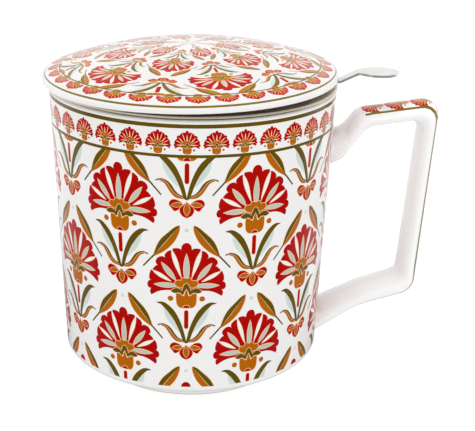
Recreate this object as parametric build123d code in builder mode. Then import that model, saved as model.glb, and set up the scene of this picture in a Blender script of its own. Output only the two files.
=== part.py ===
from build123d import *
import math
import os

# Lidded tea mug with a lift-out infuser.
# Millimetres. Origin on the mug's axis in the plane of the foot, +Z up, handle towards +X.

round_limit = 0.45           # a rounding takes at most this share of the thickness it is on
picking_range = 0.1          # how near to a plane or circle an edge lies to be picked by it

# Mug: a slightly flared cup on a foot ring
mug_height = 92.5            # foot plane to the top of the lip
rim_radius = 44.07           # outside of the wall at the lip
base_radius = 40.31          # outside of the wall carried down to the foot plane
wall_thickness = 3.2
lip_round = 1.45             # both edges of the lip
shoulder_height = 5.66       # underside of the body, outside the foot ring
corner_width = 6.3           # elliptical corner between wall and underside
corner_height = 2.8
foot_radius = 30.0           # outside of the foot ring where it leaves the body
foot_taper = 0.5             # how much narrower the foot ring is at the table
foot_width = 2.9
foot_round = 0.7
foot_recess = 3.6            # depth of the hollow under the mug
floor_thickness = 5.0
floor_corner = 8.0           # inside corner between floor and wall

# Handle: a square-cornered strap, luted to the wall at both ends
strap_width = 13.2
strap_edge_round = 2.6       # the strap is nearly oval
strap_thickness = 6.2        # upper end of the upright
strap_thickness_low = 5.85   # lower end of the upright
arm_height = 6.7             # both arms, corner to corner
strap_reach = 33.3           # wall to the upper corner
strap_reach_low = 31.7       # wall to the lower corner
strap_drop = 4.6             # lip down to the upper corner
strap_rise = 23.2            # foot plane up to the lower corner
strap_corner = 4.2           # rounding of the upper outer corner
strap_corner_low = 6.0       # rounding of the lower outer corner
strap_corner_inside = 2.8    # rounding of the two corners inside the loop
arm_slope = 7.9              # degrees, upper arm above the horizontal
arm_slope_low = 15.3         # degrees, lower arm above the horizontal
knee_reach = 7.7             # wall to the knee where the upper root meets its arm
bend_reach = 13.0            # wall to the bend where the lower root meets its arm
root_slope = 51.0            # degrees, upper root between its foot and the knee
root_slope_over = 17.0       # degrees, where the upper root's top edge meets the wall
root_slope_under = 25.5      # degrees, where the upper root's lower edge meets the wall
root_slope_low = 34.0        # degrees, where the lower root's lower edge meets the wall
root_slope_low_over = 23.8   # degrees, where the lower root's top edge meets the wall
root_height = 10.5           # height of the upper root where it starts to rise
root_reach = 3.2             # wall to where the upper root starts to rise
root_round = 6.0
bend_height = 7.38           # height of the lower arm at its bend
bend_round = 28.0
root_depth = 3.0             # how far the outline runs in behind the wall before it is trimmed

# Infuser: drawn collar with a hemmed flange, perforated wall, perforated floor cup
collar_sheet = 0.45
flange_inset = 1.77          # the flange ends this far inside the mug's rim
hem_height = 0.95            # folded outer edge of the flange
hem_width = 1.3
collar_clearance = 2.57      # between the straight collar and the mug's wall, at the lip
collar_depth = 4.6           # straight part below the lip
neck_depth = 3.4             # cone between the collar and its sleeve
sleeve_depth = 4.0           # sleeve around the top of the perforated wall
basket_clearance = 2.5       # between the perforated wall's lower edge and the mug's wall
basket_depth = 68.2          # lip down to the underside of the basket
basket_sheet = 0.4           # perforated sheet of wall and floor
floor_edge_height = 2.2      # downturned edge of the basket's floor
lap_clearance = 0.05         # between lapped sheets
hole_radius = 1.1
hole_columns = 36
hole_pitch = 5.2             # between rows on the wall
hole_margin = 3.0            # plain sheet between the lapped ends and the first holes
floor_hole_pitch = 6.2
punch_length = 1.6           # reach of the punch across the wall's sheet

# Thumb tab: a strip hemmed on the flange, a ramp outside the lip and an oval paddle
tab_sheet = 0.75
neck_width = 4.4
tab_inner_reach = 0.6        # collar to the inner end of the strip on the flange
tab_hem_length = 3.0         # the inner end is folded double over this length
tab_lip_gap = 0.35           # strip above the lip
ramp_start_reach = 1.23      # mug's rim to the foot of the ramp
ramp_end_reach = 6.73        # mug's rim to the top of the ramp
ramp_rise = 2.55
paddle_length = 12.4
paddle_width = 11.8
paddle_reach = 19.63         # mug's rim to the paddle's tip
paddle_blend = 4.0

# Lid: a shallow dome with a rolled rim and a locating ring; it lies a little askew
lid_overhang = 1.08          # past the mug's rim, all round
lid_rim_height = 2.65        # rim's lower edge to the start of the dome
lid_shoulder = 0.75          # how far inside the rim the dome starts
lid_edge_round = 0.85
dome_height = 7.8
lid_thickness = 3.1
ring_clearance = 1.25        # between the locating ring and the infuser's collar
ring_width = 3.0
ring_depth = 3.8
ring_round = 0.7
lid_lift = 1.85              # lip to the rim's lower edge, at the axis
lid_tilt = 1.1               # degrees, the side above the tab stands higher
lid_shift = 0.8              # away from the handle


def wall_radius(z):
    """Outside radius of the mug's wall at height z."""
    return base_radius + (rim_radius - base_radius) * z / mug_height


def along(start, run, degrees):
    """The point that lies run further out than start, on a line of this slope."""
    return (start[0] + run, start[1] + run * math.tan(math.radians(degrees)))


# Mug body
floor_top = foot_recess + floor_thickness
corner_top = shoulder_height + corner_height
corner_radius = wall_radius(corner_top)
inner_lip_radius = rim_radius - wall_thickness
inner_floor_radius = wall_radius(floor_top) - wall_thickness
foot_bottom_radius = foot_radius - foot_taper
foot_inner_radius = foot_bottom_radius - foot_width

with BuildPart() as mug_body:
    with BuildSketch(Plane.XZ):
        with BuildLine():
            Polyline(
                (0, floor_top),
                (0, foot_recess),
                (foot_inner_radius, foot_recess),
                (foot_inner_radius, 0),
                (foot_bottom_radius, 0),
                (foot_radius, shoulder_height),
                (corner_radius - corner_width, shoulder_height),
            )
            EllipticalCenterArc(
                (corner_radius - corner_width, corner_top),
                corner_width,
                corner_height,
                start_angle=270,
                arc_size=90,
            )
            Polyline(
                (corner_radius, corner_top),
                (rim_radius, mug_height),
                (inner_lip_radius, mug_height),
                (inner_floor_radius, floor_top),
                (0, floor_top),
            )
        make_face()
    revolve(axis=Axis.Z)
    lip_edges = mug_body.edges().group_by(Axis.Z)[-1]
    fillet(lip_edges, min(lip_round, round_limit * wall_thickness))
    foot_edges = mug_body.edges().group_by(Axis.Z)[0]
    fillet(foot_edges, min(foot_round, round_limit * foot_width))
    floor_edge = mug_body.edges().filter_by_position(
        Axis.Z,
        floor_top - picking_range,
        floor_top + picking_range,
    )
    fillet(floor_edge, floor_corner)
mug_body.part.label = "mug_body"

# Mug handle: the strap's outline in the XZ plane, clockwise from the upper root
peak_height = mug_height - strap_drop
peak = (wall_radius(peak_height) + strap_reach, peak_height)
heel = (wall_radius(strap_rise) + strap_reach_low, strap_rise)
knee = along(peak, wall_radius(peak_height) + knee_reach - peak[0], arm_slope)
root_top = along(knee, root_reach - knee_reach, root_slope)
bend = along(heel, wall_radius(strap_rise) + bend_reach - heel[0], arm_slope_low)
inner_heel = (heel[0] - strap_thickness_low, heel[1] + arm_height)
inner_bend = (bend[0], bend[1] + bend_height)
inner_peak = (peak[0] - strap_thickness, peak[1] - arm_height)
inner_knee = (knee[0] + strap_thickness / 2, along(inner_peak, knee[0] - inner_peak[0], arm_slope)[1])
inner_root = (root_top[0], root_top[1] - root_height)
behind_wall = wall_radius(strap_rise) - root_depth
edge_round = min(strap_edge_round, round_limit * min(strap_thickness, strap_thickness_low))

with BuildPart() as mug_handle:
    with BuildSketch(Plane.XZ):
        with BuildLine():
            FilletPolyline(
                along(root_top, behind_wall - root_top[0], root_slope_over),
                root_top,
                knee,
                peak,
                heel,
                bend,
                along(bend, behind_wall - bend[0], root_slope_low),
                along(inner_bend, behind_wall - bend[0], root_slope_low_over),
                inner_bend,
                inner_heel,
                inner_peak,
                inner_knee,
                inner_root,
                along(inner_root, behind_wall - inner_root[0], root_slope_under),
                radius=[
                    0,
                    root_round,
                    root_round,
                    strap_corner,
                    strap_corner_low,
                    bend_round,
                    0,
                    0,
                    bend_round,
                    strap_corner_inside,
                    strap_corner_inside,
                    root_round,
                    root_round,
                    0,
                ],
                close=True,
            )
        make_face()
    extrude(amount=strap_width / 2, both=True)
    sides = mug_handle.faces().filter_by(Plane.XZ)
    fillet(sides.edges(), edge_round)
    Cone(
        base_radius,
        rim_radius,
        mug_height,
        align=(Align.CENTER, Align.CENTER, Align.MIN),
        mode=Mode.SUBTRACT,
    )
mug_handle.part.label = "mug_handle"

# Infuser collar: it rests on the lip and hangs into the mug
collar_bottom = mug_height - collar_depth
neck_bottom = collar_bottom - neck_depth
sleeve_bottom = neck_bottom - sleeve_depth
basket_bottom = mug_height - basket_depth
basket_radius = wall_radius(basket_bottom) - wall_thickness - basket_clearance
sleeve_inner_radius = basket_radius + lap_clearance
flange_radius = rim_radius - flange_inset
collar_radius = inner_lip_radius - collar_clearance
collar_inner_radius = collar_radius - collar_sheet

with BuildPart() as infuser_collar:
    with BuildSketch(Plane.XZ):
        with BuildLine():
            Polyline(
                (collar_radius, mug_height),
                (flange_radius, mug_height),
                (flange_radius, mug_height + hem_height),
                (flange_radius - hem_width, mug_height + hem_height),
                (flange_radius - hem_width, mug_height + collar_sheet),
                (collar_inner_radius, mug_height + collar_sheet),
                (collar_inner_radius, collar_bottom),
                (sleeve_inner_radius, neck_bottom),
                (sleeve_inner_radius, sleeve_bottom),
                (sleeve_inner_radius + collar_sheet, sleeve_bottom),
                (sleeve_inner_radius + collar_sheet, neck_bottom),
                (collar_radius, collar_bottom),
                close=True,
            )
        make_face()
    revolve(axis=Axis.Z)
    hem_edges = infuser_collar.edges().filter_by(
        lambda e: e.geom_type == GeomType.CIRCLE and e.radius > flange_radius - picking_range
    )
    fillet(hem_edges, round_limit * hem_height)
infuser_collar.part.label = "infuser_collar"

# Infuser wall: a perforated tube, lapped inside the collar's sleeve
wall_top = neck_bottom - lap_clearance
lowest_row = basket_bottom + floor_edge_height + hole_margin + hole_radius
highest_row = sleeve_bottom - hole_margin - hole_radius
row_count = int((highest_row - lowest_row) / hole_pitch) + 1

with BuildPart() as infuser_wall:
    with BuildSketch(Plane.XY.offset(basket_bottom)):
        Circle(basket_radius)
        Circle(basket_radius - basket_sheet, mode=Mode.SUBTRACT)
    extrude(amount=wall_top - basket_bottom)
    for row in range(row_count):
        stagger = 180 / hole_columns * (row % 2)
        with Locations((0, 0, lowest_row + row * hole_pitch)):
            with PolarLocations(basket_radius, hole_columns, start_angle=stagger):
                Cylinder(
                    hole_radius,
                    punch_length,
                    rotation=(0, 90, 0),
                    mode=Mode.SUBTRACT,
                )
infuser_wall.part.label = "infuser_wall"

# Infuser floor: a perforated disc with a downturned edge, pressed into the foot of the wall
floor_radius = basket_radius - basket_sheet - lap_clearance
floor_inner_radius = floor_radius - basket_sheet
floor_underside = basket_bottom + floor_edge_height - basket_sheet
ring_count = int((floor_inner_radius - hole_margin - hole_radius) / floor_hole_pitch)
holes_per_ring = 6           # each ring has this many more than the one inside it

with BuildPart() as infuser_floor:
    with BuildSketch(Plane.XY.offset(basket_bottom)):
        Circle(floor_radius)
    extrude(amount=floor_edge_height)
    with BuildSketch(Plane.XY.offset(basket_bottom)):
        Circle(floor_inner_radius)
    extrude(amount=floor_edge_height - basket_sheet, mode=Mode.SUBTRACT)
    with BuildSketch(Plane.XY.offset(floor_underside)):
        Circle(hole_radius)
        for ring in range(1, ring_count + 1):
            with PolarLocations(ring * floor_hole_pitch, holes_per_ring * ring):
                Circle(hole_radius)
    extrude(amount=basket_sheet, mode=Mode.SUBTRACT)
infuser_floor.part.label = "infuser_floor"

# Thumb tab: its side view, cut to its plan
strip_low = mug_height + tab_lip_gap + tab_sheet / 2
strip_high = mug_height + hem_height + tab_sheet / 2
paddle_level = strip_low + ramp_rise
tab_inner_radius = collar_radius + tab_inner_reach
fold_end = tab_inner_radius + tab_hem_length
ramp_start = rim_radius + ramp_start_reach
ramp_end = rim_radius + ramp_end_reach
paddle_tip = rim_radius + paddle_reach
paddle_middle = paddle_tip - paddle_length / 2

with BuildPart() as infuser_tab:
    with BuildSketch(Plane.XZ):
        with BuildLine():
            FilletPolyline(
                (tab_inner_radius, strip_high),
                (flange_radius, strip_high),
                (flange_radius + hem_width, strip_low),
                (ramp_start, strip_low),
                (ramp_end, paddle_level),
                (paddle_tip, paddle_level),
                radius=tab_sheet,
            )
        trace(line_width=tab_sheet)
        with Locations((tab_inner_radius, strip_high + tab_sheet / 2)):
            Rectangle(tab_hem_length, tab_sheet, align=(Align.MIN, Align.MIN))
    extrude(amount=paddle_width, both=True)
    with BuildSketch(Plane.XY.offset(mug_height)) as plan:
        with Locations((tab_inner_radius, 0)):
            Rectangle(
                paddle_middle - tab_inner_radius,
                neck_width,
                align=(Align.MIN, Align.CENTER),
            )
        with Locations((paddle_middle, 0)):
            Ellipse(paddle_length / 2, paddle_width / 2)
        blend_corners = plan.vertices().filter_by(
            lambda v: fold_end < v.X < paddle_middle
        )
        fillet(blend_corners, paddle_blend)
    extrude(amount=mug_height, mode=Mode.INTERSECT)
infuser_tab.part.label = "infuser_tab"

# Lid: drawn about its own axis, then laid on the infuser with its small tilt
lid_radius = rim_radius + lid_overhang
ring_radius = collar_inner_radius - ring_clearance
dome_edge = lid_radius - lid_shoulder
dome_radius = (dome_edge**2 + dome_height**2) / (2 * dome_height)
dome_top = lid_rim_height + dome_height
dome_centre = dome_top - dome_radius
inner_dome_radius = dome_radius - lid_thickness
ring_inner_radius = ring_radius - ring_width
ceiling_edge_height = dome_centre + math.sqrt(inner_dome_radius**2 - ring_inner_radius**2)
lid_seat = mug_height + lid_lift

with BuildPart() as lid_drawn:
    with BuildSketch(Plane.XZ):
        with BuildLine():
            Polyline(
                (0, dome_top - lid_thickness),
                (0, dome_top),
            )
            ThreePointArc(
                (0, dome_top),
                (
                    dome_edge / 2,
                    dome_centre + math.sqrt(dome_radius**2 - (dome_edge / 2) ** 2),
                ),
                (dome_edge, lid_rim_height),
            )
            Polyline(
                (dome_edge, lid_rim_height),
                (lid_radius, lid_rim_height / 2),
                (lid_radius, 0),
                (ring_radius, 0),
                (ring_radius, -ring_depth),
                (ring_inner_radius, -ring_depth),
                (ring_inner_radius, ceiling_edge_height),
            )
            ThreePointArc(
                (ring_inner_radius, ceiling_edge_height),
                (
                    ring_inner_radius / 2,
                    dome_centre
                    + math.sqrt(inner_dome_radius**2 - (ring_inner_radius / 2) ** 2),
                ),
                (0, dome_top - lid_thickness),
            )
        make_face()
    revolve(axis=Axis.Z)
    rim_edges = lid_drawn.edges().filter_by(
        lambda e: e.geom_type == GeomType.CIRCLE and e.radius > dome_edge - picking_range
    )
    fillet(rim_edges.sort_by(Axis.Z)[0], lid_edge_round)
    ring_edges = lid_drawn.edges().group_by(Axis.Z)[0]
    fillet(ring_edges, ring_round)

with BuildPart() as lid:
    with Locations(Location((-lid_shift, 0, lid_seat), (0, -lid_tilt, 0))):
        add(lid_drawn.part)
lid.part.label = "lid"

os.makedirs("parts", exist_ok=True)
export_step(mug_body.part, "parts/mug_body.step")
export_step(mug_handle.part, "parts/mug_handle.step")
export_step(infuser_collar.part, "parts/infuser_collar.step")
export_step(infuser_wall.part, "parts/infuser_wall.step")
export_step(infuser_floor.part, "parts/infuser_floor.step")
export_step(infuser_tab.part, "parts/infuser_tab.step")
export_step(lid.part, "parts/lid.step")
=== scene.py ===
"""Lidded tea mug with a lift-out infuser: porcelain with a fired print, and stainless steel.

Sizes are millimetres in the frame of the CAD model until a mesh is made. An angle named phi is
counted in degrees round the mug's axis from the front, towards the handle, which is at phi 92.
"""
import math
from bisect import bisect

import bpy
import numpy as np
from mathutils import Matrix, Vector
from mathutils.geometry import delaunay_2d_cdt


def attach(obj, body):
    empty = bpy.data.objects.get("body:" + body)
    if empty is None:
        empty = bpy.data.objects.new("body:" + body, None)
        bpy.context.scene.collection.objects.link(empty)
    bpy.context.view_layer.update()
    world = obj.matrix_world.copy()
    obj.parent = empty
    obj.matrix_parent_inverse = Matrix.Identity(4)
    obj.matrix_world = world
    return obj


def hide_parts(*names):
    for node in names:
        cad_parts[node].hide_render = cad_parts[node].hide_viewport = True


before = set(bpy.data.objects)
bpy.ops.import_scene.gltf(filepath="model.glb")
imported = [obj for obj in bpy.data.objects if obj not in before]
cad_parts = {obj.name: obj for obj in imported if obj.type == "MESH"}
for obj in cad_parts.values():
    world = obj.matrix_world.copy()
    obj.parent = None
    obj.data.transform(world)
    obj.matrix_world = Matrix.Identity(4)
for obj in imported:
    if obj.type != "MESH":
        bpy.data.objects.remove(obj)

bpy.context.view_layer.update()

MM = 0.001
HANDLE_PHI = 92.0
SEGMENTS = 180                # round the mug and the lid
WELD_DIGITS = 4               # decimals of a millimetre to which points coincide

# Mug
MUG_HEIGHT = 92.5
RIM_RADIUS = 44.07
BASE_RADIUS = 40.31
WALL = 3.2
LIP_ROUND = 1.44
SHOULDER_HEIGHT = 5.66
CORNER_WIDTH = 6.3
CORNER_HEIGHT = 2.8
FOOT_RADIUS = 30.0
FOOT_BOTTOM_RADIUS = 29.5
FOOT_WIDTH = 2.9
FOOT_ROUND = 0.7
FOOT_RECESS = 3.6
RECESS_ROUND = 1.6
FLOOR_TOP = 8.6
FLOOR_CORNER = 8.0

# Lid, about its own axis, and how it lies
LID_RADIUS = 45.15
LID_RIM_HEIGHT = 2.65
DOME_EDGE = 44.4
DOME_HEIGHT = 7.8
LID_THICKNESS = 3.1
LID_EDGE_ROUND = 0.45
SHOULDER_ROUND = 1.1          # where the dome turns into the rim
RING_RADIUS = 36.6
RING_WIDTH = 3.0
RING_DEPTH = 3.8
RING_ROUND = 0.7
LID_SEAT = 94.35
LID_TILT = 1.1
LID_SHIFT = 0.8

# Print: one flower with its leaves repeats on the wall, on the lid and, in small, in the borders
# BISQUE_AND_SEAT_SHADE is the mug's bare foot and, on the lid, the seat's painted shade
GLAZE, KEYLINE, RED, OCHRE, OLIVE, GREY, SAGE, BISQUE_AND_SEAT_SHADE = range(8)
WALL_MM_PER_DEGREE = 0.738    # width of a degree on the flat print
COLUMN_PITCH = 26.9           # degrees between flower columns on the wall
COLUMN_PHI = -2.1
ROW_PERIOD = 45.35
FIRST_APEX = 56.05            # height of a flower's tip in the column at COLUMN_PHI
HALF_DROP = 22.5              # the next column is this much higher
DECAL_BOTTOM = 9.0
DECAL_START = -265.5          # phi
DECAL_END = 89.5
LOWER_RING = (81.55, 82.45)   # heights of the olive rings that bound the border
UPPER_RING = (90.1, 91.25)
BORDER_APEX = 89.5
BORDER_SCALE = 0.31
BORDER_PITCH = 10.69          # degrees
KEY = 0.15                    # width of the pale line round a figure

# Print on the lid: the same flower, bent round the middle with its tip outwards
LID_COLUMN_PITCH = 30.0
LID_COLUMN_PHI = 16.2
LID_APEXES = ((38.0, 15.9), (49.1, 26.95))   # radii of the tips, in alternate columns
LID_SQUEEZE = 0.493           # radial size of a flower against its size on the wall
LID_BORDER_COUNT = 32
LID_BORDER_PHI = 3.0
LID_BORDER_APEX = 43.55
LID_BORDER_SQUEEZE = 0.66
LID_INNER_RING = (39.5, 39.95)
LID_OUTER_RING = (44.1, 44.4)
LID_PRINT_EDGE = 44.95        # where the turned rim takes over from the printed sheet
LID_PRINT_SHIFT = 0.5         # the print sits this much towards the front

# Handle: its outer and inner outline (x, z) from the upper root, matched corner by corner
HANDLE_OUTER = ((41.6, 77.12), (47.08, 78.79), (51.58, 84.35), (77.18, 87.9), (72.95, 23.2),
                (54.25, 18.08), (39.4, 8.07))
HANDLE_OUTER_ROUNDS = (6.0, 6.0, 4.2, 6.0, 28.0)
HANDLE_INNER = ((41.6, 65.68), (47.08, 68.29), (54.68, 78.94), (70.98, 81.2), (67.1, 29.9),
                (54.25, 25.46), (39.4, 18.91))
HANDLE_INNER_ROUNDS = (6.0, 6.0, 2.8, 2.8, 28.0)
HANDLE_HALF_WIDTH = 6.6
HANDLE_HALF_THICKNESS = 2.9   # on the arm and the upright, where the print is
HANDLE_SEGMENTS = 48          # round the handle's section
HANDLE_SPREAD = 5.0           # millimetres for a radian, where the section is laid flat
HANDLE_PRINT_START = 13.6     # along the outer outline
HANDLE_PRINT_END = 118.0
HANDLE_FIRST_APEX = 12.4
HANDLE_PITCH = 8.05
HANDLE_PALMETTE = (0.435, 0.36)             # a flower's size on the handle, across and along
# the olive line's near edge, its far edge, and that on the upright, from the crest over the round
HANDLE_LINES = (4.45, 5.45, 6.15)
HANDLE_UPRIGHT = (33.0, 40.0, 92.0, 98.0)   # where the line starts and ends to broaden and to narrow

# Infuser: a drawn collar with a rolled edge; the tube and its floor are perforated sheet
SHEET = 0.4
ROLL_PLACE = (43.65, 92.83)   # the middle of the flange's rolled edge
ROLL_RADIUS = 0.55
COLLAR_SHEET = 0.45
COLLAR_RADIUS = 37.85         # inside
NECK_TOP = 87.9
NECK_BOTTOM = 84.5
SLEEVE_RADIUS = 35.65         # inside
SLEEVE_BOTTOM = 80.5
TUBE_RADIUS = 35.6
TUBE_HEIGHTS = (24.3, 84.45)
TUBE_HOLES = (90, 25)         # columns and rows
TUBE_FIRST_ROW = 28.0
SIEVE_RADIUS = 35.15
SIEVE_TOP = 26.5
SIEVE_FLAT = 33.6             # inside its turned-down edge
SIEVE_ROUND = 1.2             # outside, where the edge turns down
SIEVE_HOLES_REACH = 31.6
HOLE_PITCH = 2.485
HOLE_ROW_PITCH = HOLE_PITCH * math.cos(math.radians(30))
HOLE_RADIUS = 0.62


# ---------------- outlines

def arc(centre, radii, start, end, steps):
    """Points on an ellipse between two angles in degrees."""
    turns = [math.radians(start + (end - start) * i / steps) for i in range(steps + 1)]
    return [(centre[0] + radii[0] * math.cos(t), centre[1] + radii[1] * math.sin(t)) for t in turns]


def curve(points, steps):
    """A smooth line through the points (Catmull-Rom), with this many pieces between two of them."""
    ends = [Vector(points[0]), *map(Vector, points), Vector(points[-1])]
    line = []
    for a, b, c, d in zip(ends, ends[1:], ends[2:], ends[3:]):
        for i in range(steps):
            t = i / steps
            line.append(
                tuple(
                    (b * 2 + (c - a) * t + (a * 2 - b * 5 + c * 4 - d) * t**2
                     + (b * 3 - a - c * 3 + d) * t**3) / 2
                )
            )
    return [*line, tuple(points[-1])]


def rounded(points, radii, step=12.0, pieces=None):
    """An open line with its inner corners rounded, in steps of so many degrees or so many pieces;
    radii has one entry for each inner corner."""
    line = [points[0]]
    for before, corner, after, radius in zip(points, points[1:], points[2:], radii):
        a, b, c = Vector(before), Vector(corner), Vector(after)
        into, out = (b - a).normalized(), (c - b).normalized()
        turn = into.angle_signed(out, 0.0)
        if radius == 0 or abs(turn) < 1e-6:
            line.append(corner)
            continue
        tangent = radius * math.tan(abs(turn) / 2)
        side = 1 if into.x * out.y - into.y * out.x > 0 else -1
        normal = Vector((-into.y, into.x)) * side
        centre = b - into * tangent + normal * radius
        x, y = -normal * radius
        count = pieces or max(2, round(math.degrees(abs(turn)) / step))
        for i in range(count + 1):
            angle = side * abs(turn) * i / count
            cosine, sine = math.cos(angle), math.sin(angle)
            line.append((centre.x + (x * cosine - y * sine), centre.y + (x * sine + y * cosine)))
    return [*line, points[-1]]


def divided(first, second, step):
    """Two matched lines, with points added to both where the first one's are more than a step apart."""
    fine = [(first[0], second[0])]
    for (a, c), (b, d) in zip(zip(first, second), zip(first[1:], second[1:])):
        count = math.ceil(math.dist(a, b) / step)
        for i in range(1, count + 1):
            fine.append(tuple(tuple(Vector(p).lerp(Vector(q), i / count)) for p, q in ((a, b), (c, d))))
    return fine


def lens(start, end, half_width, fullest=0.5, steps=7):
    """A leaf with two pointed ends; fullest is where it is widest, from 0 at the start to 1."""
    a, b = Vector(start), Vector(end)
    across = Vector((a.y - b.y, b.x - a.x)).normalized() * half_width
    power = math.log(0.5) / math.log(fullest)
    spine = [(a.lerp(b, i / steps), math.sin(math.pi * (i / steps) ** power)) for i in range(steps + 1)]
    left = [tuple(p + across * w) for p, w in spine]
    right = [tuple(p - across * w) for p, w in spine[1:-1]]
    return left + right[::-1]


def dot(centre, radius, steps=12):
    """A small disc."""
    return arc(centre, (radius, radius), 0, 360 - 360 / steps, steps - 1)


def grown(outline, width):
    """The outline moved out by a width, corner by corner."""
    area = sum(a[0] * b[1] - b[0] * a[1] for a, b in zip(outline, outline[1:] + outline[:1]))
    side = width if area > 0 else -width
    moved = []
    for before, here, after in zip(outline[-1:] + outline[:-1], outline, outline[1:] + outline[:1]):
        into = (Vector(here) - Vector(before)).normalized()
        out = (Vector(after) - Vector(here)).normalized()
        mean = into + out
        if mean.length < 0.3:
            mean = into
        mean.normalize()
        moved.append((here[0] + mean.y * side, here[1] - mean.x * side))
    return moved


def mirrored(outline):
    """The outline on the other side of the flower's stem."""
    return [(-x, y) for x, y in reversed(outline)]


def both(paint, outline, width=0.0):
    """A figure and its mirror image, with a pale line round them if a width is given."""
    pair = [outline, mirrored(outline)]
    lines = [(KEYLINE, grown(o, width)) for o in pair] if width else []
    return lines + [(paint, o) for o in pair]


def single(paint, outline, width=0.0):
    """A figure on the stem's line, with a pale line round it if a width is given."""
    return ([(KEYLINE, grown(outline, width))] if width else []) + [(paint, outline)]


def placed(figures, spot):
    """The figures with each point sent through spot(x, y)."""
    return [(paint, [spot(x, y) for x, y in outline]) for paint, outline in figures]


# ---------------- the flower
# Its tip is the origin, the stem runs down, and FOCUS is where the petals spring from.

FOCUS = -14.7
# each petal: its lobe's angle, half angle and radius; then angle and radius of the near valley,
# the far valley, the near point and the far point
PETALS = (
    (0.0, 6.9, 14.7, None, (6.9, 12.5), None, (17.3, 13.4)),
    (40.6, 8.6, 12.75, (32.0, 11.7), (49.2, 11.1), (20.6, 13.1), (59.6, 11.5)),
    (84.7, 7.1, 11.65, (77.6, 10.9), (91.8, 10.3), (61.4, 11.8), (99.0, 10.9)),
)
NOTCH_DEPTH = 0.7


def spoke(angle, radius):
    """A point seen from the focus: angle in degrees from straight up."""
    t = math.radians(angle)
    return (radius * math.sin(t), FOCUS + radius * math.cos(t))


def scallop(valley, point, steps):
    """The round edge between a valley and the petal's point, from the valley."""
    edge = []
    for i in range(1, steps + 1):
        t = math.radians(90 * i / steps)
        angle = valley[0] + (point[0] - valley[0]) * (1 - math.cos(t))
        edge.append(spoke(angle, valley[1] + (point[1] - valley[1]) * math.sin(t)))
    return edge


def fan(steps):
    """The red petals: the right edge from the tip down to the stem, then the left edge back."""
    edge = []
    for middle, half, radius, near, far, near_point, far_point in PETALS:
        if near:
            edge += scallop(near, near_point, steps)[::-1] + [spoke(*near)]
        low = far[1] if not near else (near[1] + far[1]) / 2
        first = 0 if not near else -steps
        for i in range(first, steps):
            t = math.radians(90 * i / steps)
            edge.append(spoke(middle + half * math.sin(t), low + (radius - low) * math.cos(t)))
        edge += [spoke(*far)] + scallop(far, far_point, steps)
        edge.append(spoke(far_point[0] + 1.0, far_point[1] - NOTCH_DEPTH))
    edge.pop()
    edge += curve([(10.4, -17.1), (8.6, -15.95), (6.7, -15.3), (4.4, -15.1)], 3)
    edge.append((1.0, -15.6))
    return edge + mirrored(edge)[:-1]


def slots(steps, share=1.0, dark=GREY, light=GLAZE, line=KEY):
    """The slots in the petals, dark and light in turn; share is their width against a flower's."""
    figures = single(dark, lens((0, -13.6), (0, -3.4), 0.8 * share, 0.52, steps), line)
    for paint, start, end, width, fullest in (
        (dark, (3.0, -12.0), (7.3, -6.4), 0.72, 0.5),
        (dark, (1.6, -13.5), (9.6, -13.6), 0.72, 0.55),
        (light, (1.45, -11.2), (4.3, -2.3), 0.56, 0.6),
        (light, (4.4, -12.3), (9.95, -9.2), 0.5, 0.55),
    ):
        figures += both(paint, lens(start, end, width * share, fullest, steps), line)
    return figures


def heart(steps):
    """Ochre cap and calyx with the olive crown between them, and the stem's red collar."""
    cap = curve([(0, -11.35), (0.75, -11.0), (1.4, -11.2), (1.55, -11.9), (2.6, -11.85), (3.3, -12.4),
                 (3.3, -13.2), (2.5, -13.9), (1.6, -14.2)], steps) + [(0, -13.6)]
    calyx = curve([(0, -14.75), (0.35, -15.5), (0.55, -16.5), (0.93, -16.85), (1.4, -16.5), (2.0, -16.1),
                   (2.8, -16.0), (3.0, -16.8), (2.95, -18.4), (2.7, -19.7), (1.8, -20.6), (0, -20.8)], steps)
    crown = curve([(0, -12.8), (0.6, -13.4), (0.95, -14.4), (1.25, -15.3)], steps)
    crown += curve([(1.9, -14.75), (2.7, -14.4), (3.5, -14.6), (4.4, -15.35), (3.4, -15.85), (2.4, -15.65),
                    (1.7, -15.85), (1.0, -16.4), (0.65, -15.4), (0, -14.3)], steps)
    collar = arc((0, -20.75), (1.0, 0.95), 0, 180, 3 * steps)
    return [
        *single(OCHRE, cap + mirrored(cap)[1:-1], KEY),
        *single(OLIVE, grown(crown + mirrored(crown)[1:-1], 0.1), KEY),
        *single(OCHRE, calyx + mirrored(calyx)[1:-1], KEY),
        *single(RED, collar, KEY),
        *both(OCHRE, dot((4.65, -17.75), 0.85, 4 * steps), 0.07),
    ]


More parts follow.
